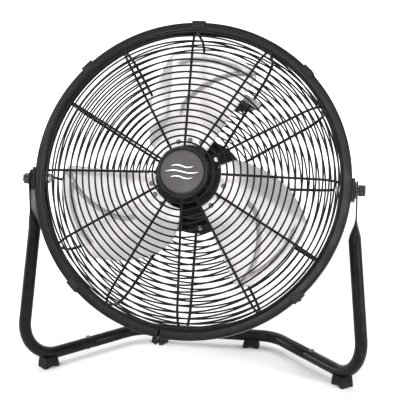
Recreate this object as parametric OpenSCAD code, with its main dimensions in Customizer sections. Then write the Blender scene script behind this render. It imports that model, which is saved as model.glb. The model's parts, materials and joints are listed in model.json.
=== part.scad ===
// Drum floor fan: a wire-guarded drum head that tilts between the arms of a bent tube stand.
// Z is up, X is to the right and the fan blows towards -Y. Z = 0 is the floor.
// Pieces of the head are drawn in the drum's own frame: the origin is the drum's centre,
// Y is the drum's axis, and in_head() tilts them and lifts them to their place.

/* [Drum] */
// Outer diameter of the rim hoop
drum_d = 540; // [500:5:560]
// Width of the rim hoop, front to back
hoop_depth = 26; // [22:1:30]
// Width of the rim hoop seen from the front
hoop_face = 15; // [12:1:17]
// Depth of the front guard, from the hoop's centre plane to the front of its ribs
front_depth = 82; // [74:1:90]
// Depth of the rear guard, from the hoop's centre plane to its mounting plate
rear_depth = 84; // [80:1:92]
// Distance between neighbouring rings of a guard
ring_pitch = 10.9; // [10:0.1:12.5]
// Diameter of a ring wire
ring_wire = 3; // [2.5:0.1:3.4]
// Diameter of a rib wire
rib_wire = 5; // [4:0.1:5.4]
// Diameter of the round badge
badge_d = 84; // [70:1:88]

/* [Stand] */
// Tilt of the drum above level, in degrees
head_tilt = 21; // [0:1:45]
// Height of the tilt axis above the floor
pivot_z = 352; // [345:1:390]
// Outer diameter of the stand tube
tube_d = 22; // [19:1:24]
// Wall of the stand tube
tube_wall = 1.4; // [1:0.1:2]
// Thickness of the flattened arm ends
plate_t = 3; // [2.6:0.1:4]

/* [Blades] */
// Diameter of the fan blades
blade_d = 424; // [380:2:440]
// Thickness of the blade sheet
blade_t = 1.5; // [1:0.1:2]
// Rise of a blade per millimetre of width at its tip
blade_slope = 0.16; // [0.08:0.01:0.18]
// Rise per millimetre of the blade's bent leading flange
flange_slope = 0.7; // [0.3:0.05:0.8]

/* [Hidden] */

$fn = 96;
fit = 0.05;       // radial clearance of a running fit
elbow_lap = 0.6;  // how far a straight reaches over the elbow it meets
elbow_share = 0.985; // an elbow's radius as a share of its straights'
gap = 0.3;        // clearance between neighbouring pieces

// whole-model placing: the overall box is centred on Y = 0
depth_shift = -21.07;
axis_rise = 8;    // the drum's axis lies this far above the tilt axis

// drum
hoop_r = drum_d / 2;
hoop_t = 1.5;
hoop_half = hoop_depth / 2;
hoop_chamfer = 3;
ring_r = ring_wire / 2;
rib_r = rib_wire / 2;
stack = ring_r + rib_r;                     // from a rib's centre to its rings' centres
end_wire_r = 2.5;                           // the thicker outer ring held in the hoop
side_r = hoop_r - hoop_face - 5.5;          // where the ribs run straight back into the hoop
end_ring_r = side_r + rib_r + end_wire_r;
end_ring_y = hoop_half - hoop_t - end_wire_r;
rib_count = 12;
rib_bend = 42;
face_rings = 15;
edge_rings = 6;
edge_step = 14;                             // degrees between the rings on the guard's round edge
first_ring = 50;
last_face_ring = first_ring + ring_pitch * (face_rings - 1);
front_slope = 7;                            // a guard's face is a shallow cone
rear_slope = 6;
front_rib_start = 30;
rear_rib_start = 70;
rear_first = 96;
rear_face_rings = 11;
clip_angles = [45, 90, 135, 225, 315];
clip_span = 4.8;                            // degrees of rim that a clip covers
clip_t = 1.8;
clamp_angle = 262;
clamp_gap = 5;
clamp_lug = [3, 14, 13];

// badge and its backing
badge_r = badge_d / 2;
badge_lip = 6.2;
badge_front = -front_depth - 11;
badge_back = -front_depth - rib_r;
backing_front = 0.1 + rib_r - face_depth(badge_r - 4, front_depth, front_rib_start, front_slope);

// rotor
shaft_r = 6;
blade_y = -31;                              // centre plane of the blades' roots
spider_y = blade_y + blade_t / 2;
spider_t = 3;
pad_r = 74;
blend_len = 46;
tip_r = blade_d / 2;
rivet_r = 62;
crease_x = -42;
lead_angle = 142;
tip_lead_angle = 101;
trail_angle = 57;

// motor
motor_r = 62;
motor_wall = 2;
bell_edge = 2.4;                            // chamfer of the casing's flat ends
motor_front = 20;
motor_mid = 52;
plate_y = rear_depth;
plate_sheet = 2;
plate_r = 84;
rear_rib_depth = plate_y + plate_sheet + rib_r + (plate_r - rear_rib_start) * tan(rear_slope);
box_r = 60;
box_depth = 34;
box_wall = 2;

bearing_r = 13;
bearing_len = 9;
bolt_r = 55;
ear_r = 74;
ear_t = 3;
ear_angles = [36, 156, 276];
core_r = 32;
core_y0 = 38;
core_y1 = 66;
winding_out = 51;
winding_len = 7;
stem_r = 3;
knob_r = 17;
housing_screw_r = 50;
housing_screw_angles = [30, 150, 270 + 38];
gland_r = 7;
gland_y = plate_y + 18;
rivet_step = 18;                            // degrees between the rivets of one blade

// carrying handle, on the ribs at 60 and 120 degrees
handle_reach = 176;
handle_screw_x = 9;
handle_pad_y = face_depth(handle_reach - 7, rear_rib_depth, rear_rib_start, rear_slope)
    + stack + ring_r + 0.2;
handle_rise = 34;
grip_r = 9;
backing_y = face_depth(handle_reach + 7, rear_rib_depth, rear_rib_start, rear_slope) - rib_r - 0.1;

// tilt pivots, along X from the drum's side outwards
stud_r = 4;
bracket_out = hoop_r + 5;
washer_out = bracket_out + 1.6;
plate_in = washer_out + gap;
plate_x = plate_in + plate_t / 2;
knob_in = plate_in + plate_t + gap;
knob_len = 12;
inner_bracket_in = hoop_r - 16;
nut_in = hoop_r - 24.2;
stud_in = hoop_r - 28;

// stand, right-hand side; the left is its mirror image
tube_r = tube_d / 2;
bore_r = tube_r - tube_wall;
arm_top = [plate_x - 1, 2, 264];
corner = [302, -30, 23];
rear_corner = [131, 165, 23];
leg = rear_corner - corner;
run_dir = leg / norm(leg);
joint_at = corner + leg * 0.6;
leg_heading = atan2(leg.y, leg.x);
front_foot = corner + run_dir * 57;
rear_foot = [88, 165];
foot_w = 30;
foot_depth = 24;
arch_w = 18;
foot_screw_top = corner.z - tube_r - 1;

function unit(v) = v / norm(v);
function turn(p, i) = acos(unit(p[i] - p[i - 1]) * unit(p[i + 1] - p[i]));
function trim(p, bends, i) = (i == 0 || i == len(p) - 1) ? 0 : bends[i] * tan(turn(p, i) / 2);

// ---------- placing ----------

module in_head() {
    translate([0, depth_shift, pivot_z])
        rotate([-head_tilt, 0, 0])
            translate([0, 0, axis_rise])
                children();
}

// In the head's tilt, but centred on the tilt axis instead of the drum's axis
module at_pivot() {
    translate([0, depth_shift, pivot_z]) rotate([-head_tilt, 0, 0]) children();
}

module on_floor() {
    translate([0, depth_shift, 0]) children();
}

// Turns a shape drawn along +X to an angle round the drum's axis, seen from the front
module at_angle(a) {
    rotate([0, -a, 0]) children();
}

// Revolves a (radius, y) outline round the drum's axis
module turned() {
    rotate([-90, 0, 0]) rotate_extrude() children();
}

module rod_y(r, y0, y1) {
    translate([0, y0, 0]) rotate([-90, 0, 0]) cylinder(r = r, h = y1 - y0);
}

module tube_y(r_out, r_in, y0, y1) {
    turned() translate([r_in, y0]) square([r_out - r_in, y1 - y0]);
}

module rod_x(r, x0, x1) {
    translate([x0, 0, 0]) rotate([0, 90, 0]) cylinder(r = r, h = x1 - x0);
}

module tube_x(r_out, r_in, x0, x1) {
    difference() {
        rod_x(r_out, x0, x1);
        rod_x(r_in, x0 - 1, x1 + 1);
    }
}

module both_sides() {
    children();
    mirror([1, 0, 0]) children();
}

// ---------- bent wires and tubes ----------

module along(a, b) {
    d = b - a;
    translate(a) rotate([0, acos(d.z / norm(d)), atan2(d.y, d.x)]) children();
}

// A quarter-ring style elbow at point i; it is a hair thinner than the straights it plugs into
module elbow(p, i, bend, r) {
    a = unit(p[i] - p[i - 1]);
    b = unit(p[i + 1] - p[i]);
    n = unit(b - (a * b) * a);
    w = cross(-n, a);
    c = p[i] - a * bend * tan(turn(p, i) / 2) + n * bend;
    multmatrix([
        [-n.x, a.x, w.x, c.x],
        [-n.y, a.y, w.y, c.y],
        [-n.z, a.z, w.z, c.z],
        [0, 0, 0, 1]
    ])
        rotate_extrude(angle = turn(p, i)) translate([bend, 0]) circle(r = r * elbow_share);
}

// A round bar through the points p, bent to the radius bends[i] at each inner point.
// over lengthens it past its first and last point.
module pipe(p, bends, r, over = [0, 0]) {
    last = len(p) - 1;
    for (i = [0 : last - 1]) {
        d = unit(p[i + 1] - p[i]);
        a = p[i] + d * (i == 0 ? -over[0] : trim(p, bends, i) - elbow_lap);
        b = p[i + 1] - d * (i == last - 1 ? -over[1] : trim(p, bends, i + 1) - elbow_lap);
        along(a, b) cylinder(r = r, h = norm(b - a));
    }
    for (i = [1 : last - 1]) elbow(p, i, bends[i], r);
}

module wire_ring(radius, y, r) {
    turned() translate([radius, y]) circle(r = r, $fn = 24);
}

// ---------- stand ----------

side_path = [arm_top, corner, joint_at];
side_bends = [0, 65, 0];

module arm_end() {
    difference() {
        union() {
            translate([plate_in, 0, pivot_z])
                rotate([0, 90, 0])
                    cylinder(r = 16, h = plate_t);
            translate([plate_in, -16, 300]) cube([plate_t, 32, pivot_z - 300]);
            hull() {
                translate([plate_in, -16, 299]) cube([plate_t, 32, 1]);
                along(arm_top, corner) cylinder(r = tube_r - 0.2, h = 0.5, $fn = 36);
            }
        }
        translate([0, 0, pivot_z]) rod_x(stud_r + fit, plate_in - 1, plate_in + plate_t + 1);
    }
}

module side_tube() {
    on_floor() difference() {
        union() {
            arm_end();
            pipe(side_path, side_bends, tube_r);
        }
        pipe(side_path, side_bends, bore_r, [0, 1]);
        joint_screw_shape(2.6);
    }
}

module joint_screw_shape(r) {
    spot = joint_at - run_dir * 12;
    translate([spot.x, spot.y, spot.z - tube_r - 1]) cylinder(r = r, h = 2 * tube_r + 2);
}

module left_stand_tube() {
    color([0.09, 0.09, 0.10]) mirror([1, 0, 0]) side_tube();
}

module right_stand_tube() {
    color([0.09, 0.09, 0.10]) side_tube();
}

rear_path = [
    joint_at, rear_corner, [-rear_corner.x, rear_corner.y, rear_corner.z],
    [-joint_at.x, joint_at.y, joint_at.z]
];
rear_bends = [0, 60, 60, 0];

// The rear tube has a reduced spigot at each end that plugs into a side tube
module rear_base_tube() {
    color([0.09, 0.09, 0.10]) on_floor() difference() {
        union() {
            pipe(rear_path, rear_bends, tube_r);
            pipe([rear_path[0], rear_path[1]], [0, 0], bore_r - fit, [24, -20]);
            pipe([rear_path[3], rear_path[2]], [0, 0], bore_r - fit, [24, -20]);
        }
        pipe(rear_path, rear_bends, bore_r - 1.6, [25, 25]);
        both_sides() joint_screw_shape(2.6);
    }
}

module base_joint_screws() {
    color([0.75, 0.75, 0.77]) on_floor() both_sides() {
        spot = joint_at - run_dir * 12;
        joint_screw_shape(2.5);
        translate([spot.x, spot.y, spot.z + tube_r]) cylinder(r = 4.5, h = 2.8);
    }
}

module foot_screw_shape(at, r, head_r, top) {
    translate([at.x, at.y, 6]) cylinder(r = r, h = top - 6);
    translate([at.x, at.y, 3.5]) cylinder(r = head_r, h = 2.5);
}

module foot_screw_hole(at, top) {
    translate([at.x, at.y, 5.9]) cylinder(r = 2.1, h = top);
    translate([at.x, at.y, -1]) cylinder(r = 4, h = 7);
}

// A saddle foot: a tapered block hollowed for its tube, with an arch between its two treads
module foot(at, top, heading, arch) {
    arch_r = (arch_w * arch_w / 4 + arch * arch) / (2 * arch);
    difference() {
        translate([at.x, at.y, 0]) rotate([0, 0, heading]) difference() {
            rotate([90, 0, 0])
                translate([0, 0, -foot_depth / 2])
                    linear_extrude(foot_depth)
                        polygon([
                            [-foot_w / 2, 0], [foot_w / 2, 0], [foot_w / 2, 4],
                            [foot_w / 2 - 3, top], [-foot_w / 2 + 3, top], [-foot_w / 2, 4]
                        ]);
            translate([0, foot_depth, arch - arch_r])
                rotate([90, 0, 0])
                    cylinder(r = arch_r, h = 2 * foot_depth);
        }
        foot_screw_hole(at, top);
        children();
    }
}

module front_feet() {
    color([0.10, 0.10, 0.10]) on_floor() both_sides()
        foot(front_foot, 20, leg_heading, 3) pipe(side_path, side_bends, tube_r + gap);
}

module rear_feet() {
    color([0.10, 0.10, 0.10]) on_floor() both_sides()
        foot(rear_foot, 18, 0, 3) pipe(rear_path, rear_bends, tube_r + gap);
}

module foot_screws() {
    color([0.75, 0.75, 0.77]) on_floor() both_sides() {
        foot_screw_shape(front_foot, 2, 3.6, foot_screw_top);
        foot_screw_shape(rear_foot, 2, 3.6, foot_screw_top);
    }
}

// ---------- drum hoop ----------

module hoop_outline() {
    in_r = hoop_r - hoop_face;
    polygon([
        [in_r, -hoop_half], [hoop_r - hoop_chamfer, -hoop_half],
        [hoop_r, -hoop_half + hoop_chamfer], [hoop_r, hoop_half - hoop_chamfer],
        [hoop_r - hoop_chamfer, hoop_half], [in_r, hoop_half],
        [in_r, hoop_half - hoop_t], [hoop_r - hoop_chamfer - 0.6, hoop_half - hoop_t],
        [hoop_r - hoop_t, hoop_half - hoop_chamfer - 0.6],
        [hoop_r - hoop_t, -hoop_half + hoop_chamfer + 0.6],
        [hoop_r - hoop_chamfer - 0.6, -hoop_half + hoop_t], [in_r, -hoop_half + hoop_t]
    ]);
}

module clamp_lugs() {
    at_angle(clamp_angle) for (s = [-1, 1])
        translate([hoop_r - 1, -clamp_lug.y / 2, s * (clamp_gap + clamp_lug.x) / 2 - clamp_lug.x / 2])
            cube([clamp_lug.z, clamp_lug.y, clamp_lug.x]);
}

module rim_hoop() {
    color([0.12, 0.12, 0.13]) in_head() difference() {
        union() {
            turned() hoop_outline();
            clamp_lugs();
        }
        at_angle(clamp_angle)
            translate([hoop_r - 30, -hoop_half - 1, -clamp_gap / 2])
                cube([50, hoop_depth + 2, clamp_gap]);
        clamp_screw_shape(2.6, -12, 12);
        for (a = clip_angles) at_angle(a) rod_x(1.9, hoop_r - 8, hoop_r + 4);
        translate([0, 0, -axis_rise]) both_sides() rod_x(stud_r + fit, hoop_r - 8, hoop_r + 4);
    }
}

module clamp_screw_shape(r, z0, z1) {
    at_angle(clamp_angle) translate([hoop_r + 6.5, 0, z0]) cylinder(r = r, h = z1 - z0);
}

module hoop_clamp_screw() {
    color([0.75, 0.75, 0.77]) in_head() {
        clamp_screw_shape(2.5, -5.5, 11);
        clamp_screw_shape(4.5, -8.5, -5.5);
    }
}

module hoop_clamp_nut() {
    color([0.75, 0.75, 0.77]) in_head() difference() {
        at_angle(clamp_angle) translate([hoop_r + 6.5, 0, 5.5]) cylinder(r = 4.6, h = 4, $fn = 6);
        clamp_screw_shape(2.5, 5, 12);
    }
}

module clip_outline() {
    out = hoop_half + gap + clip_t;
    difference() {
        translate([hoop_r - 11, -out]) square([11 + gap + clip_t, 2 * out]);
        translate([hoop_r - 12, -hoop_half - gap]) square([12 + gap, hoop_depth + 2 * gap]);
    }
}

module rim_clips() {
    color([0.07, 0.07, 0.08]) in_head() difference() {
        for (a = clip_angles) at_angle(a - clip_span / 2)
            rotate([-90, 0, 0]) mirror([0, 1, 0]) rotate_extrude(angle = clip_span) clip_outline();
        for (a = clip_angles) at_angle(a) rod_x(1.9, hoop_r - 8, hoop_r + 8);
    }
}

module clip_screws() {
    color([0.10, 0.10, 0.10]) in_head() for (a = clip_angles) at_angle(a) {
        rod_x(1.8, hoop_r - 6, hoop_r + gap + clip_t);
        rod_x(3.6, hoop_r + gap + clip_t, hoop_r + gap + clip_t + 2.2);
    }
}

// ---------- wire guards ----------

// Depth of a rib's centre at radius r, on the guard's conical face
function face_depth(r, top, r0, slope) = top - (r - r0) * tan(slope);

// Centre of the rib's bend at the guard's shoulder, as (radius, depth)
function bend_centre(top, r0, slope) =
    let (r = side_r - rib_bend)
    [r, face_depth(r + rib_bend * sin(slope), top, r0, slope) - rib_bend * cos(slope)];

// Centre of a ring that lies on the outside of the face, and of ring k round the bend
function on_face(r, top, r0, slope) =
    [r, face_depth(r - stack * sin(slope), top, r0, slope) + stack * cos(slope)];
function on_bend(k, top, r0, slope) =
    let (a = slope + k * edge_step)
    bend_centre(top, r0, slope) + (rib_bend + stack) * [sin(a), cos(a)];

// One rib in the X-Y plane; side is -1 for the front guard and 1 for the rear guard
module rib(top, r0, slope, side) {
    pipe([
        [r0, side * top, 0],
        [side_r, side * face_depth(side_r, top, r0, slope), 0],
        [side_r, side * (end_ring_y - end_wire_r), 0]
    ], [0, rib_bend, 0], rib_r);
}

module guard_ribs(top, r0, slope, side) {
    for (i = [0 : rib_count - 1])
        at_angle(i * 360 / rib_count) rib(top, r0, slope, side);
}

module edge_ring_set(top, r0, slope, side) {
    for (k = [0 : edge_rings - 1]) {
        at = on_bend(k, top, r0, slope);
        wire_ring(at.x, side * at.y, ring_r);
    }
    wire_ring(end_ring_r, side * end_ring_y, end_wire_r);
}

module front_ribs() {
    color([0.09, 0.09, 0.10]) in_head()
        guard_ribs(front_depth, front_rib_start, front_slope, -1);
}

module front_face_rings() {
    color([0.09, 0.09, 0.10]) in_head()
        for (i = [0 : face_rings - 1]) {
            at = on_face(first_ring + ring_pitch * i, front_depth, front_rib_start, front_slope);
            wire_ring(at.x, -at.y, ring_r);
        }
}

module front_edge_rings() {
    color([0.09, 0.09, 0.10]) in_head()
        edge_ring_set(front_depth, front_rib_start, front_slope, -1);
}

module rear_ribs() {
    color([0.09, 0.09, 0.10]) in_head()
        guard_ribs(rear_rib_depth, rear_rib_start, rear_slope, 1);
}

module rear_face_rings() {
    color([0.09, 0.09, 0.10]) in_head()
        for (i = [0 : rear_face_rings - 1]) {
            r = rear_first + (last_face_ring - rear_first) * i / (rear_face_rings - 1);
            at = on_face(r, rear_rib_depth, rear_rib_start, rear_slope);
            wire_ring(at.x, at.y, ring_r);
        }
}

module rear_edge_rings() {
    color([0.09, 0.09, 0.10]) in_head()
        edge_ring_set(rear_rib_depth, rear_rib_start, rear_slope, 1);
}

// ---------- badge ----------

module badge_cup() {
    color([0.10, 0.09, 0.10]) in_head() turned() polygon([
        [badge_r - badge_lip, badge_front], [badge_r - 1.5, badge_front], [badge_r, badge_front + 1.5],
        [badge_r, badge_back], [3.1, badge_back], [3.1, badge_back - 2],
        [badge_r - badge_lip, badge_back - 2]
    ]);
}

module badge_disc() {
    color([0.45, 0.43, 0.44]) in_head() rod_y(badge_r - badge_lip - gap, badge_front + 1, badge_front + 3);
}

module badge_backing() {
    color([0.12, 0.12, 0.13]) in_head()
        tube_y(badge_r - 4, 3.1, backing_front, backing_front + 2);
}

module badge_screw() {
    color([0.75, 0.75, 0.77]) in_head() {
        rod_y(3, badge_back - 3, backing_front + 2);
        rod_y(5.5, backing_front + 2, backing_front + 5);
    }
}

// ---------- rear plate and motor ----------

module rear_mount_plate() {
    color([0.10, 0.10, 0.11]) in_head() difference() {
        tube_y(plate_r, 9, plate_y, plate_y + plate_sheet);
        for (a = ear_angles) at_angle(a) translate([ear_r, 0, 0]) rod_y(2.6, plate_y - 1, plate_y + 9);
    }
}

module mount_plate_screws() {
    color([0.75, 0.75, 0.77]) in_head()
        for (a = ear_angles) at_angle(a) translate([ear_r, 0, 0]) {
            rod_y(2.5, plate_y - ear_t, plate_y + 5);
            rod_y(4.8, plate_y - ear_t - 2.6, plate_y - ear_t);
        }
}

// One bell of the motor's casing, from its flat end at y = 0 to its open rim at y = length
module bell_outline(length) {
    polygon([
        [8, 0], [motor_r - bell_edge, 0], [motor_r, bell_edge], [motor_r, length],
        [motor_r - motor_wall, length], [motor_r - motor_wall, bell_edge + 0.8],
        [motor_r - bell_edge - 0.8, motor_wall], [bearing_r + 3, motor_wall],
        [bearing_r + 3, motor_wall + bearing_len], [bearing_r, motor_wall + bearing_len],
        [bearing_r, motor_wall], [8, motor_wall]
    ]);
}

module through_bolt_holes() {
    for (i = [0 : 3]) at_angle(45 + i * 90) translate([bolt_r, 0, 0])
        rod_y(2.1, motor_front - 1, plate_y + 1);
}

module motor_front_shell() {
    color([0.08, 0.08, 0.09]) in_head() difference() {
        turned() translate([0, motor_front]) bell_outline(motor_mid - motor_front);
        through_bolt_holes();
    }
}

module motor_rear_shell() {
    color([0.08, 0.08, 0.09]) in_head() difference() {
        union() {
            turned() translate([0, plate_y]) mirror([0, 1]) bell_outline(plate_y - motor_mid);
            for (a = ear_angles) at_angle(a)
                translate([motor_r - 1.5, plate_y - ear_t, -7]) cube([ear_r - motor_r + 8, ear_t, 14]);
        }
        through_bolt_holes();
        for (a = ear_angles) at_angle(a) translate([ear_r, 0, 0]) rod_y(2.6, plate_y - 9, plate_y + 1);
    }
}

module motor_through_bolts() {
    color([0.75, 0.75, 0.77]) in_head()
        for (i = [0 : 3]) at_angle(45 + i * 90) translate([bolt_r, 0, 0]) {
            rod_y(2, motor_front, plate_y);
            rod_y(4, motor_front - 2.4, motor_front);
        }
}

module stator_core() {
    color([0.55, 0.55, 0.57]) in_head() difference() {
        tube_y(motor_r - motor_wall - 0.2, core_r + 0.6, core_y0, core_y1);
        through_bolt_holes();
    }
}

module stator_windings() {
    color([0.72, 0.40, 0.20]) in_head() {
        tube_y(winding_out, core_r + 4, core_y0 - winding_len, core_y0);
        tube_y(winding_out, core_r + 4, core_y1, core_y1 + winding_len);
    }
}

module bearing(y) {
    tube_y(bearing_r, shaft_r + fit, y, y + bearing_len);
}

module front_bearing() {
    color([0.70, 0.70, 0.72]) in_head() bearing(motor_front + motor_wall);
}

module rear_bearing() {
    color([0.70, 0.70, 0.72]) in_head() bearing(plate_y - motor_wall - bearing_len);
}

// ---------- switch housing ----------

module switch_housing() {
    y0 = plate_y + plate_sheet;
    y1 = y0 + box_depth;
    color([0.08, 0.08, 0.09]) in_head() difference() {
        turned() polygon([
            [stem_r + fit, y1], [box_r - 5, y1], [box_r, y1 - 5], [box_r, y0], [box_r - box_wall, y0],
            [box_r - box_wall, y1 - 5.8], [box_r - 5.8, y1 - box_wall], [stem_r + fit, y1 - box_wall]
        ]);
        for (a = housing_screw_angles) at_angle(a) translate([housing_screw_r, 0, 0])
            rod_y(1.9, y1 - 9, y1 + 1);
        translate([0, gland_y, -box_r + 6]) rotate([180, 0, 0]) cylinder(r = gland_r, h = 12);
    }
}

module housing_screws() {
    y1 = plate_y + plate_sheet + box_depth;
    color([0.75, 0.75, 0.77]) in_head()
        for (a = housing_screw_angles) at_angle(a) translate([housing_screw_r, 0, 0]) {
            rod_y(1.8, plate_y + plate_sheet, y1);
            rod_y(3.6, y1, y1 + 2);
        }
}

module rotary_switch() {
    y1 = plate_y + plate_sheet + box_depth - box_wall;
    color([0.80, 0.78, 0.70]) in_head() difference() {
        translate([-16, y1 - 16, -13]) cube([32, 16, 26]);
        rod_y(stem_r + fit, y1 - 12, y1 + 1);
    }
}

module run_capacitor() {
    color([0.85, 0.85, 0.83]) in_head()
        translate([-20, plate_y + plate_sheet + 1, 20]) cube([40, 14, 20]);
}

// Strain-relief bush of the housing's cable inlet
module cord_gland() {
    color([0.05, 0.05, 0.05]) in_head() translate([0, gland_y, 0]) difference() {
        union() {
            translate([0, 0, -box_r - 12]) cylinder(r = gland_r - 0.1, h = 18);
            translate([0, 0, -box_r - 3]) cylinder(r = gland_r + 2.2, h = 2.7);
        }
        translate([0, 0, -box_r - 13]) cylinder(r = 3.9, h = 20);
    }
}

module speed_knob() {
    y1 = plate_y + plate_sheet + box_depth;
    color([0.10, 0.10, 0.10]) in_head() {
        rod_y(stem_r, y1 - box_wall - 11, y1 + gap + 1);
        difference() {
            rod_y(knob_r, y1 + gap, y1 + gap + 14);
            for (i = [0 : 11]) at_angle(i * 30) translate([knob_r + 0.9, 0, 0])
                rod_y(2, y1 + gap + 3, y1 + gap + 15);
        }
        translate([-2, y1 + gap + 13, 2]) cube([4, 3, knob_r - 4]);
    }
}

// ---------- carrying handle ----------

handle_foot = handle_reach * [cos(60), sin(60)];

module handle_screw_places() {
    both_sides() translate([handle_foot.x, 0, handle_foot.y])
        rotate([0, -60, 0])
            for (s = [-1, 1]) translate([0, 0, s * handle_screw_x]) children();
}

module carry_handle() {
    grip_y = handle_pad_y + handle_rise;
    color([0.06, 0.06, 0.06]) in_head() difference() {
        union() {
            pipe([
                [handle_foot.x, handle_pad_y, handle_foot.y],
                [handle_foot.x, grip_y, handle_foot.y],
                [-handle_foot.x, grip_y, handle_foot.y],
                [-handle_foot.x, handle_pad_y, handle_foot.y]
            ], [0, 20, 20, 0], grip_r);
            both_sides() translate([handle_foot.x, 0, handle_foot.y]) rotate([0, -60, 0])
                translate([-7, handle_pad_y, -16]) cube([14, 4, 32]);
        }
        handle_screw_places() rod_y(2, handle_pad_y - 1, handle_pad_y + 3);
    }
}

module handle_backing_plates() {
    color([0.70, 0.70, 0.72]) in_head() difference() {
        both_sides() translate([handle_foot.x, 0, handle_foot.y]) rotate([0, -60, 0])
            translate([-6, backing_y - 2, -16]) cube([12, 2, 32]);
        handle_screw_places() rod_y(2.1, backing_y - 3, backing_y + 1);
    }
}

module handle_screws() {
    color([0.75, 0.75, 0.77]) in_head() handle_screw_places() {
        rod_y(1.95, backing_y - 2, handle_pad_y + 3);
        rod_y(3.8, backing_y - 4.2, backing_y - 2);
    }
}

// ---------- tilt pivots ----------

module pivot_brackets() {
    color([0.10, 0.10, 0.11]) at_pivot() both_sides() difference() {
        translate([hoop_r - 4, -11, -19]) cube([bracket_out - hoop_r + 4, 22, 38]);
        translate([0, 0, axis_rise]) rod_y(hoop_r, -20, 20, $fn = 720);
        rod_x(stud_r + fit, hoop_r - 6, bracket_out + 1);
    }
}

module pivot_inner_brackets() {
    color([0.10, 0.10, 0.11]) at_pivot() both_sides() difference() {
        intersection() {
            translate([inner_bracket_in, -6.2, -13]) cube([30, 12.4, 26]);
            translate([0, 0, axis_rise]) rod_y(hoop_r - hoop_t, -20, 20, $fn = 720);
        }
        rod_x(stud_r + fit, inner_bracket_in - 1, hoop_r + 1);
    }
}

module friction_washers() {
    color([0.35, 0.20, 0.12]) at_pivot() both_sides()
        tube_x(14, stud_r + fit, bracket_out, washer_out);
}

module pivot_washers() {
    color([0.80, 0.80, 0.82]) at_pivot() both_sides()
        tube_x(6.2, stud_r + fit, inner_bracket_in - 1.6, inner_bracket_in);
}

module pivot_nuts() {
    color([0.70, 0.70, 0.72]) at_pivot() both_sides() difference() {
        translate([nut_in, 0, 0]) rotate([0, 90, 0])
            cylinder(r = 7, h = inner_bracket_in - 1.6 - nut_in, $fn = 6);
        rod_x(stud_r + fit, nut_in - 1, inner_bracket_in);
    }
}

module knob_grip() {
    difference() {
        union() {
            rod_x(7.6, knob_in, knob_in + knob_len);
            for (i = [0 : 5]) rotate([i * 60, 0, 0]) translate([0, 0, 6.6])
                rod_x(2.9, knob_in, knob_in + knob_len - 1.5);
        }
        rod_x(stud_r, knob_in - 1, knob_in + knob_len - 4);
    }
}

module knob_stud() {
    rod_x(stud_r, stud_in, knob_in + knob_len - 4);
}

module left_knob_grip() {
    color([0.08, 0.08, 0.08]) at_pivot() mirror([1, 0, 0]) knob_grip();
}

module right_knob_grip() {
    color([0.08, 0.08, 0.08]) at_pivot() knob_grip();
}

module left_knob_stud() {
    color([0.72, 0.72, 0.74]) at_pivot() mirror([1, 0, 0]) knob_stud();
}

module right_knob_stud() {
    color([0.72, 0.72, 0.74]) at_pivot() knob_stud();
}

// ---------- rotor ----------

module motor_shaft() {
    color([0.75, 0.75, 0.77]) in_head() {
        rod_y(shaft_r, spider_y, plate_y - 2.5);
        rod_y(4, spider_y - 12, spider_y);
    }
}

module rotor_core() {
    color([0.60, 0.60, 0.62]) in_head() tube_y(core_r, shaft_r, core_y0, core_y1);
}

module fan_hub() {
    color([0.15, 0.15, 0.16]) in_head() difference() {
        turned() polygon([
            [shaft_r, spider_y + spider_t], [28, spider_y + spider_t], [28, spider_y + spider_t + 4],
            [19, spider_y + spider_t + 7], [17, spider_y + spider_t + 28],
            [shaft_r, spider_y + spider_t + 28]
        ]);
        translate([0, spider_y + spider_t + 18, 0]) rod_x(2.5, 0, 30);
    }
}

module hub_set_screw() {
    color([0.30, 0.30, 0.31]) in_head()
        translate([0, spider_y + spider_t + 18, 0]) rod_x(2.4, shaft_r + 0.2, 17);
}

module hub_nut() {
    color([0.75, 0.75, 0.77]) in_head() difference() {
        translate([0, spider_y - 6, 0]) rotate([-90, 0, 0]) cylinder(r = 8, h = 6, $fn = 6);
        rod_y(4, spider_y - 7, spider_y + 1);
    }
}

module rivet_places() {
    for (b = [0 : 2]) at_angle(b * 120) for (s = [-1, 0, 1])
        rotate([0, s * rivet_step, 0]) translate([0, 0, rivet_r]) children();
}

module blade_spider() {
    color([0.13, 0.13, 0.14]) in_head() difference() {
        union() {
            rod_y(42, spider_y, spider_y + spider_t);
            for (b = [0 : 2]) at_angle(b * 120)
                translate([-26, spider_y, 30]) cube([52, spider_t, 42]);
        }
        rod_y(shaft_r, spider_y - 1, spider_y + 5);
        rivet_places() rod_y(2.4, spider_y - 1, spider_y + 5);
    }
}

module blade_rivets() {
    color([0.70, 0.70, 0.72]) in_head() rivet_places() {
        rod_y(2.4, spider_y - blade_t, spider_y + spider_t);
        rod_y(4.4, spider_y - blade_t - 1.6, spider_y - blade_t);
        rod_y(4.4, spider_y + spider_t, spider_y + spider_t + 1.6);
    }
}

// Outline of a blade: the angles of its leading and trailing edge at radius r
function lead_edge(r) = lead_angle
    - (lead_angle - tip_lead_angle) * pow(max(0, (r - 84) / (tip_r - 84)), 1.1);
function trail_edge(r) = trail_angle + 9 * pow(max(0, (r - tip_r + 16) / 16), 2);

// Height of the blade's middle surface: flat at the root, pitched and flanged farther out
function rise(x) = x > crease_x
    ? -blade_slope * x
    : -blade_slope * crease_x + (crease_x - x) * flange_slope;
function blend(r) = let (t = min(1, max(0, (r - pad_r) / blend_len))) t * t * (3 - 2 * t);
function blade_point(r, a, lift) = [r * cos(a), blade_y + blend(r) * rise(r * cos(a)) + lift, r * sin(a)];

blade_rows = [54, 66, 76, 86, 97, 109, 121, 136, 151, 166, 181, 193, 203, tip_r];
blade_cols = 12;

function blade_grid(lift) = [
    for (r = blade_rows) for (i = [0 : blade_cols])
        blade_point(r, lead_edge(r) + (trail_edge(r) - lead_edge(r)) * i / blade_cols, lift)
];

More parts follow.
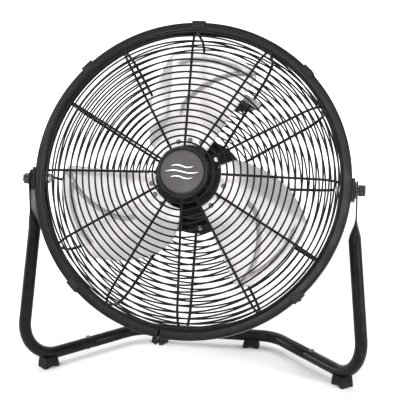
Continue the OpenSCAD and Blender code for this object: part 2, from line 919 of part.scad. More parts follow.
module blade_sheet() {
    n = len(blade_rows);
    m = blade_cols + 1;
    half = n * m;
    lower = [for (j = [0 : n - 2]) for (i = [0 : m - 2]) for (t = [0, 1]) let (k = j * m + i)
        t == 0 ? [k, k + 1, k + m] : [k + 1, k + m + 1, k + m]];
    upper = [for (f = lower) [f[0] + half, f[2] + half, f[1] + half]];
    loop = concat(
        [for (i = [0 : m - 2]) i],
        [for (j = [0 : n - 2]) j * m + m - 1],
        [for (i = [0 : m - 2]) n * m - 1 - i],
        [for (j = [0 : n - 2]) (n - 1 - j) * m]
    );
    rim = [for (k = [0 : len(loop) - 1]) for (t = [0, 1])
        let (a = loop[k], b = loop[(k + 1) % len(loop)])
        t == 0 ? [a, a + half, b] : [b, a + half, b + half]];
    polyhedron(
        points = concat(blade_grid(-blade_t / 2), blade_grid(blade_t / 2)),
        faces = concat(lower, upper, rim)
    );
}

module blade(number) {
    color([0.82, 0.80, 0.81]) in_head() difference() {
        at_angle((number - 1) * 120) blade_sheet();
        rivet_places() rod_y(2.4, spider_y - blade_t - 1, spider_y + 1);
    }
}

module blade_1() {
    blade(1);
}

module blade_2() {
    blade(2);
}

module blade_3() {
    blade(3);
}

left_stand_tube();
right_stand_tube();
rear_base_tube();
base_joint_screws();
front_feet();
rear_feet();
foot_screws();
rim_hoop();
hoop_clamp_screw();
hoop_clamp_nut();
rim_clips();
clip_screws();
front_ribs();
front_face_rings();
front_edge_rings();
badge_cup();
badge_disc();
badge_backing();
badge_screw();
rear_ribs();
rear_face_rings();
rear_edge_rings();
rear_mount_plate();
mount_plate_screws();
motor_front_shell();
motor_rear_shell();
motor_through_bolts();
stator_core();
stator_windings();
front_bearing();
rear_bearing();
switch_housing();
housing_screws();
rotary_switch();
run_capacitor();
cord_gland();
carry_handle();
handle_backing_plates();
handle_screws();
pivot_brackets();
pivot_inner_brackets();
friction_washers();
pivot_washers();
pivot_nuts();
motor_shaft();
rotor_core();
fan_hub();
blade_spider();
hub_set_screw();
hub_nut();
blade_1();
blade_2();
blade_3();
blade_rivets();
left_knob_grip();
left_knob_stud();
right_knob_grip();
right_knob_stud();
speed_knob();
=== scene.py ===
"""Looks of a tilting drum floor fan: wire guards, pressed blades, painted tube stand, studio light."""

import json
import math
import random

import bmesh
import bpy
from mathutils import Matrix, Vector


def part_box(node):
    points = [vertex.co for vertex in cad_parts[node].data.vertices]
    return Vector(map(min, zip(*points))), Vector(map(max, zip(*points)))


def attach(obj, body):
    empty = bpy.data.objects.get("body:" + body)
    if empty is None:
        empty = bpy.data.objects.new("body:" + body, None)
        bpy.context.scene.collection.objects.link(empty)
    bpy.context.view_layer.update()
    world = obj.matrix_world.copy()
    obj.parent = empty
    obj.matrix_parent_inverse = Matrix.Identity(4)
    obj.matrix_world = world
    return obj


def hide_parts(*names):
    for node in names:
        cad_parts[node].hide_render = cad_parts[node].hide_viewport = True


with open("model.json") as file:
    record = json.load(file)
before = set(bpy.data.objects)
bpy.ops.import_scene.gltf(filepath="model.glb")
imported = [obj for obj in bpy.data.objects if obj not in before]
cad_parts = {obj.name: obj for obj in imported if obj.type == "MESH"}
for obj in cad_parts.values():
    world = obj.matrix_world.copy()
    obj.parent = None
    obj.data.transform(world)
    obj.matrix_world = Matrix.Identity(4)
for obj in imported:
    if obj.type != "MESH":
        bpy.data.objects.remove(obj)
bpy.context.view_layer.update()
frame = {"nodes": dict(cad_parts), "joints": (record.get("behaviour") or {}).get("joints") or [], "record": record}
random.seed(20)

# ---------- places, from the frame ----------

MM = 0.001
JOINTS = {joint["name"]: joint for joint in frame["joints"]}
PIVOT = Vector(JOINTS["tilt"]["pos_m"])
REARWARD = Vector(JOINTS["fan_spin"]["axis"])
TILT = math.asin(-REARWARD.z)
LEAN = Matrix.Rotation(-TILT, 4, "X") @ Matrix.Scale(MM, 4)

# Shapes are drawn in millimetres in one of these three places.
# HEAD: origin at the drum's centre and Y along its axis. AT_PIVOT: the same lean, on the tilt axis.
HEAD = Matrix.Translation(JOINTS["fan_spin"]["pos_m"]) @ LEAN
AT_PIVOT = Matrix.Translation(PIVOT) @ LEAN
ON_FLOOR = Matrix.Translation((0, PIVOT.y, 0)) @ Matrix.Scale(MM, 4)


def at_angle(degrees):
    """Turns what is drawn along +X to an angle round the drum's axis, seen from the front."""
    return Matrix.Rotation(-math.radians(degrees), 4, "Y")


# ---------- shapes: each is (points, faces) ----------

def joined(*shapes):
    points, faces = [], []
    for more_points, more_faces in shapes:
        base = len(points)
        points += more_points
        faces += [tuple(base + i for i in face) for face in more_faces]
    return points, faces


def moved(shape, matrix):
    points, faces = shape
    return [matrix @ Vector(p) for p in points], faces


def skin(rings, closed_length=False):
    """Joins rings of equal length into a tube."""
    n, count = len(rings[0]), len(rings)
    points = [p for ring in rings for p in ring]
    faces = []
    for j in range(count if closed_length else count - 1):
        a, b = j * n, (j + 1) % count * n
        faces += [(a + i, a + (i + 1) % n, b + (i + 1) % n, b + i) for i in range(n)]
    if not closed_length:
        faces += [tuple(reversed(range(n))), tuple(range((count - 1) * n, count * n))]
    return points, faces


def lathe(outline, steps=144, start=0.0, turn=360.0):
    """Revolves a closed (radius, y) outline round the Y axis."""
    whole = turn >= 360
    rings = []
    for k in range(steps if whole else steps + 1):
        a = math.radians(start + turn * k / steps)
        rings.append([Vector((r * math.cos(a), y, r * math.sin(a))) for r, y in outline])
    return skin(rings, closed_length=whole)


def dome(outline, steps=32):
    """Revolves an open (radius, y) outline whose ends lie on the Y axis."""
    points, faces = [Vector((0, outline[0][1], 0)), Vector((0, outline[-1][1], 0))], []
    inner = outline[1:-1]
    for k in range(steps):
        a = math.tau * k / steps
        points += [Vector((r * math.cos(a), y, r * math.sin(a))) for r, y in inner]
    n = len(inner)
    for k in range(steps):
        a, b = 2 + k * n, 2 + (k + 1) % steps * n
        faces += [(a + i, a + i + 1, b + i + 1, b + i) for i in range(n - 1)]
        faces += [(0, a, b), (1, b + n - 1, a + n - 1)]
    return points, faces


def rounded(outline, radius, steps=4):
    """Rounds every corner of a closed 2-D outline."""
    result = []
    count = len(outline)
    for i in range(count):
        before, at, after = (Vector(outline[(i + k) % count]) for k in (-1, 0, 1))
        to_before, to_after = before - at, after - at
        reach = min(radius, to_before.length * 0.45, to_after.length * 0.45)
        a, b = at + to_before.normalized() * reach, at + to_after.normalized() * reach
        for k in range(steps + 1):
            t = k / steps
            result.append(tuple(a * (1 - t) ** 2 + at * 2 * t * (1 - t) + b * t * t))
    return result


def bent_path(corners, bends, steps=14):
    """Points along a bar that is bent to a radius at each inner corner."""
    corners = [Vector(c) for c in corners]
    path = [corners[0]]
    for i in range(1, len(corners) - 1):
        into = (corners[i] - corners[i - 1]).normalized()
        out = (corners[i + 1] - corners[i]).normalized()
        turn = into.angle(out)
        start = corners[i] - into * bends[i] * math.tan(turn / 2)
        normal = (out - into * into.dot(out)).normalized()
        for k in range(steps + 1):
            a = turn * k / steps
            path.append(start + into * bends[i] * math.sin(a) + normal * bends[i] * (1 - math.cos(a)))
    return path + [corners[-1]]


def frames_along(path, first_side):
    """The direction and a carried-along sideways vector at each point of a path."""
    side, found = Vector(first_side), []
    for i in range(len(path)):
        ahead = (path[min(i + 1, len(path) - 1)] - path[max(i - 1, 0)]).normalized()
        side = (side - ahead * side.dot(ahead)).normalized()
        found.append((ahead, side))
    return found


def sweep(path, radius, sides=24, first_side=(0, 1, 0), end_round=0.0):
    """A round bar along a path; end_round softens its two ends."""
    rings = []
    last = len(path) - 1
    for i, (point, (ahead, side)) in enumerate(zip(path, frames_along(path, first_side))):
        up = ahead.cross(side)
        stations = [(0, radius)]
        if end_round and i in (0, last):
            sign = -1 if i == 0 else 1
            stations = [(-sign * end_round, radius), (-sign * end_round * 0.3, radius - end_round * 0.3),
                        (0, radius - end_round)]
            if i == 0:
                stations.reverse()
        for shift, r in stations:
            rings.append([point + ahead * shift + side * r * math.cos(t) + up * r * math.sin(t)
                          for t in (math.tau * k / sides for k in range(sides))])
    return skin(rings)


def bevelled(shape, width, segments=2, over=30):
    """Rounds every edge sharper than an angle."""
    mesh = bmesh.new()
    points = [mesh.verts.new(p) for p in shape[0]]
    for face in shape[1]:
        mesh.faces.new([points[i] for i in face])
    bmesh.ops.recalc_face_normals(mesh, faces=mesh.faces)
    sharp = [e for e in mesh.edges if len(e.link_faces) == 2 and e.calc_face_angle() > math.radians(over)]
    bmesh.ops.bevel(mesh, geom=sharp, offset=width, segments=segments, profile=0.5, affect="EDGES",
                    clamp_overlap=True)
    mesh.verts.index_update()
    result = [v.co.copy() for v in mesh.verts], [tuple(v.index for v in f.verts) for f in mesh.faces]
    mesh.free()
    return result


def box_shape(low, high):
    rings = [[Vector((x, y, z)) for x, y in ((low[0], low[1]), (high[0], low[1]), (high[0], high[1]),
                                             (low[0], high[1]))] for z in (low[2], high[2])]
    return skin(rings)


def piece(name, shape, place, body, slot, replaces=(), sharp=38):
    """Makes a Blender piece of a shape, with its slot's material, riding on a body."""
    points, faces = moved(shape, place)
    mesh = bpy.data.meshes.new(name)
    mesh.from_pydata(points, [], faces)
    work = bmesh.new()
    work.from_mesh(mesh)
    bmesh.ops.recalc_face_normals(work, faces=work.faces)
    work.to_mesh(mesh)
    work.free()
    mesh.polygons.foreach_set("use_smooth", [True] * len(mesh.polygons))
    mesh.set_sharp_from_angle(angle=math.radians(sharp))
    made = bpy.data.objects.new(name, mesh)
    bpy.context.scene.collection.objects.link(made)
    mesh.materials.append(material_of(slot))
    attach(made, body)
    if replaces:
        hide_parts(*replaces)
    return made


# ---------- materials ----------

SLOTS = {m["slot"]: m for m in frame["record"]["materials"]}
MADE = {}


class Nodes:
    """A material's node tree with its shader, and short ways to add to it."""

    def __init__(self, name, colour, metallic, roughness):
        self.material = bpy.data.materials.new(name)
        self.material.use_nodes = True
        self.tree = self.material.node_tree
        self.shader = next(n for n in self.tree.nodes if n.type == "BSDF_PRINCIPLED")
        self.shader.inputs["Base Color"].default_value = (*colour[:3], 1)
        self.shader.inputs["Metallic"].default_value = metallic
        self.shader.inputs["Roughness"].default_value = roughness
        self.place = self.add("ShaderNodeTexCoord").outputs["Object"]

    def add(self, kind, **settings):
        node = self.tree.nodes.new(kind)
        for key, value in settings.items():
            setattr(node, key, value)
        return node

    def link(self, output, target):
        self.tree.links.new(output, target)

    def stretched(self, scale, turn=(0, 0, 0)):
        mapping = self.add("ShaderNodeMapping")
        mapping.inputs["Rotation"].default_value = turn
        mapping.inputs["Scale"].default_value = scale
        self.link(self.place, mapping.inputs["Vector"])
        return mapping.outputs["Vector"]

    def noise(self, scale, detail=3.0, where=None, rough=0.5):
        node = self.add("ShaderNodeTexNoise")
        node.inputs["Scale"].default_value = scale
        node.inputs["Detail"].default_value = detail
        node.inputs["Roughness"].default_value = rough
        self.link(where or self.place, node.inputs["Vector"])
        return node.outputs["Fac"]

    def ranged(self, value, low, high, to_low, to_high):
        node = self.add("ShaderNodeMapRange")
        for key, number in (("From Min", low), ("From Max", high), ("To Min", to_low), ("To Max", to_high)):
            node.inputs[key].default_value = number
        self.link(value, node.inputs["Value"])
        return node.outputs["Result"]

    def math(self, operation, a, b):
        node = self.add("ShaderNodeMath", operation=operation, use_clamp=True)
        for socket, value in zip(node.inputs, (a, b)):
            if isinstance(value, (int, float)):
                socket.default_value = value
            else:
                self.link(value, socket)
        return node.outputs["Value"]

    def mixed(self, share, first, second):
        """Colours mixed by a share; each is a tuple or another mix's output."""
        node = self.add("ShaderNodeMix", data_type="RGBA")
        self.link(share, node.inputs["Factor"])
        for key, colour in ((6, first), (7, second)):
            if isinstance(colour, tuple):
                node.inputs[key].default_value = (*colour[:3], 1)
            else:
                self.link(colour, node.inputs[key])
        return node.outputs[2]

    def bump(self, height, strength, distance):
        node = self.add("ShaderNodeBump")
        node.inputs["Strength"].default_value = strength
        node.inputs["Distance"].default_value = distance
        self.link(height, node.inputs["Height"])
        before = self.shader.inputs["Normal"]
        if before.is_linked:
            self.link(before.links[0].from_socket, node.inputs["Normal"])
        self.link(node.outputs["Normal"], before)

    def creases(self, radius):
        """1 on edges and in tight bends, and 0 on flats."""
        bevel = self.add("ShaderNodeBevel", samples=4)
        bevel.inputs["Radius"].default_value = radius
        flat = self.add("ShaderNodeNewGeometry").outputs["Normal"]
        dot = self.add("ShaderNodeVectorMath", operation="DOT_PRODUCT")
        self.link(bevel.outputs["Normal"], dot.inputs[0])
        self.link(flat, dot.inputs[1])
        return self.ranged(dot.outputs["Value"], 0.80, 0.985, 1.0, 0.0)

    def edges(self, radius):
        """Rubbed edges: creases broken up by noise."""
        patches = self.ranged(self.noise(160, 4), 0.42, 0.62, 0.0, 1.0)
        return self.math("MULTIPLY", self.creases(radius), patches)

    def colour(self, output):
        self.link(output, self.shader.inputs["Base Color"])

    def roughness(self, output):
        self.link(output, self.shader.inputs["Roughness"])


def lighter(colour, amount):
    return tuple(c + (1 - c) * amount for c in colour[:3])


def darker(colour, amount):
    return tuple(c * (1 - amount) for c in colour[:3])


def paint(name, colour, roughness=0.34, peel=420.0, wear=0.10):
    """Sprayed black enamel: orange peel, cloudy gloss, faint dust and rubbed edges."""
    colour = darker(colour, 0.85)
    n = Nodes(name, colour, 0.0, roughness)
    n.shader.inputs["Specular IOR Level"].default_value = 0.14
    cloud = n.noise(26, 4)
    dust = n.ranged(n.noise(70, 6, rough=0.7), 0.52, 0.78, 0.0, 0.06)
    base = n.mixed(dust, colour, lighter(colour, 0.25))
    n.colour(n.mixed(n.math("MULTIPLY", n.edges(0.0008), wear * 4), base, lighter(colour, 0.16)))
    n.roughness(n.ranged(cloud, 0.3, 0.7, roughness - 0.06, roughness + 0.10))
    n.bump(n.noise(peel, 2), 0.10, 0.0004)
    return n.material


def rolled_metal(name, colour, roughness=0.30, scale=(9, 260, 9), depth=0.05, metallic=1.0, painted_crease_shade=0.0):
    """Sheet metal: fine rolling lines, cloudy sheen, finger smudges, and painted shade darkening its tight bends
    and pressed ribs.
    """
    n = Nodes(name, colour, metallic, roughness)
    lines = n.noise(3.0, 5, n.stretched(scale), 0.6)
    smudge = n.ranged(n.noise(18, 5, rough=0.6), 0.45, 0.72, 0.0, 1.0)
    tone = n.mixed(n.ranged(lines, 0.35, 0.65, 0.0, 1.0), darker(colour, 0.06), lighter(colour, 0.10))
    smudged_and_crease_shaded = n.mixed(n.math("MULTIPLY", smudge, 0.22), tone, darker(colour, 0.12))
    # Painted shade: the colour is darkened in tight bends and on the flanks of the pressed ribs, standing in for
    # the shading of their relief.
    if painted_crease_shade:
        smudged_and_crease_shaded = n.mixed(n.math("MULTIPLY", n.creases(painted_crease_shade), 0.9), smudged_and_crease_shaded, darker(colour, 0.75))
    n.colour(smudged_and_crease_shaded)
    n.roughness(n.math("ADD", n.ranged(lines, 0.3, 0.7, roughness - 0.05, roughness + 0.06),
                       n.math("MULTIPLY", smudge, 0.10)))
    n.bump(lines, depth, 0.0002)
    return n.material


def plated(name, colour, roughness=0.26):
    """Zinc-plated steel: mottled, with bright edges."""
    n = Nodes(name, colour, 1.0, roughness)
    mottle = n.noise(320, 5, rough=0.6)
    base = n.mixed(n.ranged(mottle, 0.3, 0.7, 0.0, 1.0), darker(colour, 0.18), lighter(colour, 0.10))
    n.colour(n.mixed(n.edges(0.0004), base, lighter(colour, 0.45)))
    n.roughness(n.ranged(mottle, 0.3, 0.7, roughness - 0.06, roughness + 0.12))
    n.bump(n.noise(900, 2), 0.06, 0.0002)
    return n.material


def moulded(name, colour, roughness=0.48, grain=1500.0, depth=0.16, coat=0.0):
    """Moulded plastic: fine spark grain, a little bloom, rubbed edges."""
    colour = darker(colour, 0.6) if max(colour) < 0.2 else colour
    n = Nodes(name, colour, 0.0, roughness)
    n.shader.inputs["Specular IOR Level"].default_value = 0.22
    n.shader.inputs["Coat Weight"].default_value = coat
    n.shader.inputs["Coat Roughness"].default_value = 0.12
    bloom = n.ranged(n.noise(40, 4), 0.4, 0.75, 0.0, 0.30)
    base = n.mixed(bloom, colour, lighter(colour, 0.02))
    n.colour(n.mixed(n.math("MULTIPLY", n.edges(0.0006), 0.3), base, lighter(colour, 0.14)))
    n.roughness(n.ranged(n.noise(30, 3), 0.3, 0.7, roughness - 0.06, roughness + 0.08))
    n.bump(n.noise(grain, 2, rough=0.6), depth, 0.0003)
    return n.material


def rubbery(name, colour, roughness=0.72):
    """Moulded rubber: matt, faintly chalky, with scuffs towards the floor."""
    colour = darker(colour, 0.85)
    n = Nodes(name, colour, 0.0, roughness)
    n.shader.inputs["Specular IOR Level"].default_value = 0.15
    chalk = n.ranged(n.noise(55, 6, rough=0.7), 0.45, 0.8, 0.0, 0.5)
    height = n.add("ShaderNodeSeparateXYZ")
    n.link(n.place, height.inputs["Vector"])
    low = n.ranged(height.outputs["Z"], 0.0, 0.010, 0.5, 0.0)
    scuffs = n.math("MULTIPLY", low, n.ranged(n.noise(300, 5), 0.45, 0.65, 0.0, 1.0))
    base = n.mixed(chalk, colour, lighter(colour, 0.012))
    n.colour(n.mixed(scuffs, base, lighter(colour, 0.10)))
    n.roughness(n.ranged(n.noise(90, 3), 0.3, 0.7, roughness - 0.08, roughness + 0.10))
    n.bump(n.noise(700, 3), 0.20, 0.0003)
    return n.material


def banded(name, colour, gap_colour, spacing, roughness):
    """Laminations or turns of wire: fine bands across the drum's axis."""
    n = Nodes(name, colour, 1.0, roughness)
    wave = n.add("ShaderNodeTexWave", wave_type="BANDS", bands_direction="Y")
    wave.inputs["Scale"].default_value = math.pi / (10 * spacing)
    wave.inputs["Distortion"].default_value = 0.4
    n.link(n.stretched((1, 1, 1), (TILT, 0, 0)), wave.inputs["Vector"])
    n.colour(n.mixed(n.ranged(wave.outputs["Fac"], 0.1, 0.6, 0.0, 1.0), gap_colour, colour[:3]))
    n.roughness(n.ranged(n.noise(120, 3), 0.3, 0.7, roughness - 0.05, roughness + 0.1))
    n.bump(wave.outputs["Fac"], 0.5, 0.0004)
    return n.material


def colour_of(slot):
    return tuple(SLOTS[slot]["base_color"][:3])


MAKERS = {
    "stand_paint": lambda s, c: paint(s, c, 0.30, 260, 0.12),
    "hoop_paint": lambda s, c: paint(s, c, 0.32, 260, 0.14),
    "guard_paint": lambda s, c: paint(s, c, 0.38, 600, 0.06),
    "plate_paint": lambda s, c: paint(s, c, 0.40, 300),
    "motor_paint": lambda s, c: paint(s, c, 0.42, 260),
    "bracket_paint": lambda s, c: paint(s, c, 0.36, 300, 0.16),
    "spider_paint": lambda s, c: paint(s, c, 0.40, 300),
    "dark_screw": lambda s, c: paint(s, c, 0.45, 900, 0.2),
    "foot_rubber": rubbery,
    "gland_rubber": rubbery,
    "zinc_steel": lambda s, c: plated(s, darker(c, 0.3), 0.34),
    "bearing_steel": lambda s, c: plated(s, c, 0.20),
    "shaft_steel": lambda s, c: rolled_metal(s, c, 0.22, (260, 260, 20), 0.04),
    "clip_plastic": lambda s, c: moulded(s, darker(c, 0.75), 0.45),
    "badge_rim": lambda s, c: moulded(s, darker(c, 0.8), 0.40, 1800, 0.03),
    "badge_face": lambda s, c: moulded(s, c, 0.38, 2200, 0.05),
    "housing_plastic": lambda s, c: moulded(s, c, 0.50, 900, 0.22),
    "switch_plastic": moulded,
    "capacitor_case": lambda s, c: moulded(s, c, 0.28, 400, 0.03, 0.3),
    "handle_grip": lambda s, c: moulded(s, c, 0.52, 800, 0.30),
    "friction_fibre": lambda s, c: moulded(s, c, 0.75, 600, 0.30),
    "knob_plastic": lambda s, c: moulded(s, c, 0.32, 1400, 0.08, 0.2),
    "switch_knob": lambda s, c: moulded(s, c, 0.46, 1000, 0.15),
    "hub_casting": lambda s, c: moulded(s, c, 0.48, 500, 0.35),
    # The blades' colour carries painted shade in their tight bends and along their pressed ribs.
    "blade_aluminium": lambda s, c: rolled_metal(s, darker(c, 0.14), 0.40, (14, 14, 240), 0.04,
                                                 metallic=0.55, painted_crease_shade=0.005),
    "lamination_steel": lambda s, c: banded(s, c, (0.05, 0.05, 0.05), 0.001, 0.35),
    "copper_winding": lambda s, c: banded(s, c, (0.10, 0.03, 0.01), 0.0011, 0.30),
}


def material_of(slot):
    if slot not in MADE:
        MADE[slot] = MAKERS[slot](slot, colour_of(slot))
    return MADE[slot]


def soften(name, width):
    """Rounds the sharp edges of a CAD node that keeps its own mesh."""
    node = frame["nodes"][name]
    weld = node.modifiers.new("weld", "WELD")
    weld.merge_threshold = 0.00001
    bevel = node.modifiers.new("round_edges", "BEVEL")
    bevel.width = width * MM
    bevel.segments = 2
    bevel.limit_method = "ANGLE"
    bevel.angle_limit = math.radians(40)
    bevel.harden_normals = True


# How far the edges of the chunky CAD nodes are rounded, in millimetres
EDGE_ROUNDING = {
    "front_feet": 1.2, "rear_feet": 1.2, "switch_housing": 1.2,
    "motor_front_shell": 1.0, "motor_rear_shell": 1.0, "fan_hub": 0.8, "speed_knob": 0.6,
    "pivot_brackets": 0.5, "pivot_inner_brackets": 0.5, "cord_gland": 0.5,
    "rear_mount_plate": 0.4, "blade_spider": 0.4, "hoop_clamp_nut": 0.3,
}


def dress_cad_nodes():
    """Gives each CAD node its slot's material and rounds the edges of the chunky ones."""
    for sub in frame["record"]["subparts"]:
        node = frame["nodes"][sub["node"]]
        for place in node.material_slots:
            place.material = material_of(sub["material_slot"])
    for name, width in EDGE_ROUNDING.items():
        soften(name, width)


# ---------- floor, light and camera ----------

def floor():
    mesh = bpy.data.meshes.new("studio_floor")
    half, back, rise, curve = 9.0, 5.0, 6.0, 2.0
    profile = [(-half, 0.0), (back - curve, 0.0)]
    profile += [(back - curve + curve * math.sin(a), curve - curve * math.cos(a))
                for a in (math.pi / 2 * k / 16 for k in range(1, 17))]
    profile.append((back, rise))
    points = [(x, y, z) for x in (-half, half) for y, z in profile]
    count = len(profile)
    mesh.from_pydata(points, [], [(i, i + 1, count + i + 1, count + i) for i in range(count - 1)])
    mesh.polygons.foreach_set("use_smooth", [True] * len(mesh.polygons))
    stage = bpy.data.objects.new("studio_floor", mesh)
    bpy.context.scene.collection.objects.link(stage)
    n = Nodes("studio_paper", (0.93, 0.93, 0.93), 0.0, 0.9)
    n.colour(n.mixed(n.noise(3, 2), (0.92, 0.92, 0.92), (0.94, 0.94, 0.94)))
    mesh.materials.append(n.material)


def lamp(name, place, target, size, power, tint=(1, 1, 1)):
    data = bpy.data.lights.new(name, "AREA")
    data.shape = "RECTANGLE"
    data.size, data.size_y = size
    data.energy = power
    data.color = tint
    light = bpy.data.objects.new(name, data)
    bpy.context.scene.collection.objects.link(light)
    light.location = place
    light.rotation_euler = (Vector(target) - Vector(place)).to_track_quat("-Z", "Y").to_euler()


def studio():
    world = bpy.data.worlds.new("studio_air")
    bpy.context.scene.world = world
    world.use_nodes = True
    world.node_tree.nodes["Background"].inputs["Color"].default_value = (1, 1, 1, 1)
    world.node_tree.nodes["Background"].inputs["Strength"].default_value = 0.50
    centre = (0, PIVOT.y, 0.32)
    lamp("key_softbox", (-1.9, -2.6, 2.3), centre, (1.1, 1.1), 34)
    lamp("side_softbox", (2.5, -1.5, 1.1), centre, (0.5, 1.8), 60)
    lamp("left_strip", (-3.0, 0.5, 0.4), centre, (0.9, 1.6), 42)
    lamp("front_softbox", (0.0, -3.5, 2.1), centre, (1.5, 0.9), 60)
    lamp("top_softbox", (-0.9, 0.4, 3.0), centre, (2.2, 1.6), 40)
    lamp("back_wash", (0, 1.6, 2.6), (0, 4.5, 0.6), (4.0, 1.4), 130)
    bpy.context.scene.view_settings.view_transform = "Standard"


CAMERA_FROM_PIVOT = Vector((0.2954, -1.7289, 0.4150))
CAMERA_TURN = math.radians(9.18)
CAMERA_DOWN = math.radians(14.15)
CAMERA_LENS = 96.1


def camera():
    data = bpy.data.cameras.new("photo_view")
    data.lens = CAMERA_LENS
    data.sensor_width = 36
    data.clip_start, data.clip_end = 0.05, 60
    made = bpy.data.objects.new("photo_view", data)
    bpy.context.scene.collection.objects.link(made)
    made.location = PIVOT + CAMERA_FROM_PIVOT
    made.rotation_euler = (math.pi / 2 - CAMERA_DOWN, 0, CAMERA_TURN)
    bpy.context.scene.camera = made


# ---------- the fan's measures, in millimetres, as its CAD has them ----------
# Three are slightly under the CAD's: RIB_SKIN_R draws a slimmer wire, and ARM_SKIN_R and HANDLE_GRIP_R
# keep a finer tube inside the coarser CAD one.

HOOP_R = round(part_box("rim_hoop")[1].x / MM, 1)
HOOP_HALF, HOOP_FACE, HOOP_SHEET = 13.0, 15.0, 1.5
CLAMP_ANGLE, CLAMP_GAP, LUG_SHEET, LUG_HALF, LUG_REACH = 262.0, 5.0, 3.0, 7.0, 12.0
CLIP_ANGLES, CLIP_SPAN, CLIP_SHEET, CLIP_REACH = (45, 90, 135, 225, 315), 4.8, 1.8, 11.0
CLEARANCE = 0.3

RING_R, RIB_R, RIB_SKIN_R, RIB_COUNT = 1.5, 2.5, 2.1, 12
STACK = RING_R + RIB_R
END_WIRE_R = 2.5
RIB_END_Y = HOOP_HALF - HOOP_SHEET - 2 * END_WIRE_R
SIDE_R, RIB_BEND, EDGE_RINGS, EDGE_STEP = HOOP_R - 20.5, 42.0, 6, 14.0
FRONT_FACE = dict(top=82.0, start=30.0, slope=7.0, rings=[50 + 10.9 * i for i in range(15)], side=-1)
REAR_FACE = dict(top=89.97, start=70.0, slope=6.0, rings=[96 + 10.66 * i for i in range(11)], side=1)

BADGE_R, BADGE_FRONT, BADGE_BACK, BADGE_LIP, BADGE_HOLE_R = 42.0, -93.0, -84.5, 6.2, 3.1

BLADE_Y, BLADE_SHEET, TIP_R = -31.0, 1.5, 212.0
PAD_R, BLEND_LENGTH, CREASE_X, CREASE_SOFT = 74.0, 46.0, -42.0, 1.6
PITCH, FLANGE = 0.16, 0.70
LEAD_ROOT, LEAD_TIP, LEAD_TURN_R, TRAIL, TRAIL_CORNER = 142.0, 101.0, 84.0, 57.0, 16.0
SPIDER_Y, SPIDER_SHEET, RIVET_R, RIVET_STEP = BLADE_Y + BLADE_SHEET / 2, 3.0, 62.0, 18.0

PLATE_X, PLATE_HALF, TUBE_R, ARM_SKIN_R = 278.4, 1.5, 11.0, 10.84
ARM_TOP, CORNER, REAR_CORNER = (PLATE_X - 1, 2, 264), (302, -30, 23), (131, 165, 23)
JOINT_AT = tuple(c + (r - c) * 0.6 for c, r in zip(CORNER, REAR_CORNER))
CORNER_BEND, REAR_BEND, JOINT_SCREW_BACK = 65.0, 60.0, 12.0
FLAT_END_R, FLAT_END_Z, FLAT_POWER, ROUND_POWER = 16.0, 306.0, 5.0, 2.0

PLATE_Y, EAR_R, EAR_SHEET, EAR_ANGLES = 84.0, 74.0, 3.0, (36, 156, 276)
HOUSING_BACK, HOUSING_SCREW_R, HOUSING_SCREW_ANGLES = 120.0, 50.0, (30, 150, 308)
SPEED_KNOB_R, SPEED_KNOB_HEIGHT, SPEED_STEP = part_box("speed_knob")[1].x / MM, 16.0, 45.0
HANDLE_REACH, HANDLE_ANGLE, HANDLE_GRIP_R, HANDLE_RISE, HANDLE_BEND = 176.0, 60.0, 8.98, 34.0, 20.0
HANDLE_PAD = Vector((7.0, 4.0, 16.0))
KNOB_IN, KNOB_LENGTH, KNOB_LOBES, KNOB_MEAN_R, LOBE_DEPTH = 280.2, 12.0, 6, 8.35, 1.1


# ---------- stand ----------

def eased(t):
    t = min(1.0, max(0.0, t))
    return t * t * (3 - 2 * t)


def arm_stations():
    """An arm from its flat top down to its round tube: (z, x, y, half x, half y, power) of each section."""
    pivot_z, stations = PIVOT.z / MM, []
    for rise in (15.95, 15.5, 14.4, 12.4, 9.5, 6.0, 3.0, 0.0):
        half_y = math.sqrt(FLAT_END_R ** 2 - rise ** 2)
        stations.append((pivot_z + rise, PLATE_X, 0.0, PLATE_HALF, half_y, FLAT_POWER))
    for k in range(15):
        s = eased(k / 14)
        z = FLAT_END_Z + (ARM_TOP[2] - FLAT_END_Z) * k / 14
        x = PLATE_X + (ARM_TOP[0] - PLATE_X) * s
        half_x = PLATE_HALF + (ARM_SKIN_R - PLATE_HALF) * s
        half_y = FLAT_END_R + (ARM_SKIN_R - FLAT_END_R) * s
        stations.append((z, x, ARM_TOP[1] * s, half_x, half_y, FLAT_POWER + (ROUND_POWER - FLAT_POWER) * s))
    return stations


def superellipse(centre, half_x, half_y, power, count):
    ring = []
    for k in range(count):
        c, s = math.cos(math.tau * k / count), math.sin(math.tau * k / count)
        ring.append(centre + Vector((half_x * math.copysign(abs(c) ** (2 / power), c),
                                     half_y * math.copysign(abs(s) ** (2 / power), s), 0)))
    return ring


def side_tube(sides=40):
    rings = [superellipse(Vector((x, y, z)), half_x, half_y, power, sides)
             for z, x, y, half_x, half_y, power in arm_stations()]
    path = bent_path([ARM_TOP, CORNER, JOINT_AT], [0, CORNER_BEND, 0], 28)
    path[0] = path[0] + (path[1] - path[0]) * 0.04
    path.insert(-1, path[-1] + (path[-2] - path[-1]).normalized() * 0.5)
    for i, (ahead, side) in enumerate(frames_along(path, (1, 0, 0))):
        across = ahead.cross(side) * -1
        r = ARM_SKIN_R - (0.5 if i == len(path) - 1 else 0.0)
        ring = []
        for k in range(sides):
            t = math.tau * k / sides
            ring.append(path[i] + side * r * math.cos(t) + across * r * math.sin(t))
        rings.append(ring)
    return skin(rings)


def mirrored(shape):
    return [Vector((-p[0], p[1], p[2])) for p in shape[0]], shape[1]


